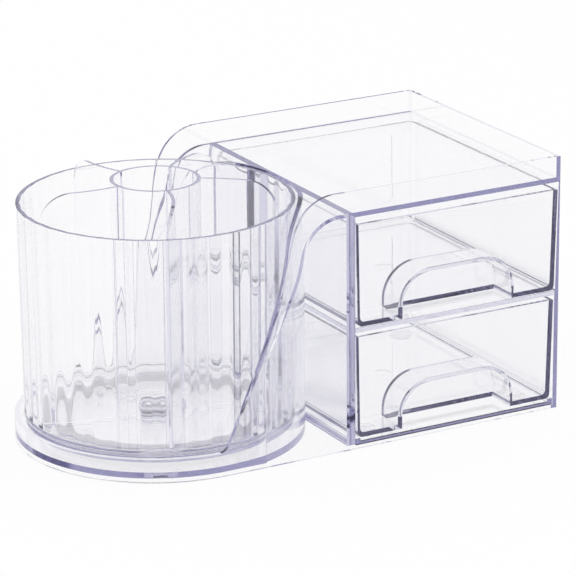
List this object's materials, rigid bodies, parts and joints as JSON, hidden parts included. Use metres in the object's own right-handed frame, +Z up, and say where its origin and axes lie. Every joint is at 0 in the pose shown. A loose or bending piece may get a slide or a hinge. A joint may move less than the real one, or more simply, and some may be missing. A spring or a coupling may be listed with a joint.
{
  "type": "brush holder with drawer",
  "caption": "Clear cosmetics organiser: a turning round brush cup with a curved-vane divider beside a case with stacked drawers and a railed tray on top.",
  "frame": {"origin": "centre of the footprint's bounding box, on the surface the feet stand on", "axes": "+X from the round cup towards the drawer case, +Y to the back, so the drawers open towards -Y; +Z up"},
  "size_m": [0.2714, 0.15, 0.1385],
  "materials": {
    "clear_case": "clear, polished, faint violet cast",
    "clear_drawer": "clear, polished, faint violet cast",
    "clear_cup": "clear, polished, hollow flutes inside",
    "clear_divider": "clear, polished",
    "clear_turntable": "clear, polished",
    "white_glide": "translucent natural plastic",
    "clear_rubber": "soft, translucent"
  },
  "bodies": {
    "housing": {"outer_shell": "clear_case", "drawer_shelf": "clear_case", "floor_plate": "clear_case", "spindle_pin": "clear_turntable", "thrust_washer": "white_glide", "glide_ring": "white_glide", "retaining_clip": "white_glide", "foot_case_front_left": "clear_rubber", "foot_case_front_right": "clear_rubber", "foot_case_back_left": "clear_rubber", "foot_case_back_right": "clear_rubber", "foot_round_front": "clear_rubber", "foot_round_back": "clear_rubber", "foot_round_left": "clear_rubber"},
    "cup": {"turntable_plate": "clear_turntable", "brush_cup": "clear_cup"},
    "divider": {"divider_insert": "clear_divider"},
    "upper_drawer_body": {"upper_drawer": "clear_drawer"},
    "lower_drawer_body": {"lower_drawer": "clear_drawer"}
  },
  "joints": [
    {"name": "cup_spin", "type": "hinge", "parent": "housing", "child": "cup", "pos_m": [-0.0607, 0, 0.0094], "axis": [0, 0, 1], "continuous": true},
    {"name": "divider_lift", "type": "slide", "parent": "cup", "child": "divider", "axis": [0, 0, 1], "range_m": [0, 0.115]},
    {"name": "upper_drawer_slide", "type": "slide", "parent": "housing", "child": "upper_drawer_body", "axis": [0, -1, 0], "range_m": [0, 0.115]},
    {"name": "lower_drawer_slide", "type": "slide", "parent": "housing", "child": "lower_drawer_body", "axis": [0, -1, 0], "range_m": [0, 0.115]}
  ]
}
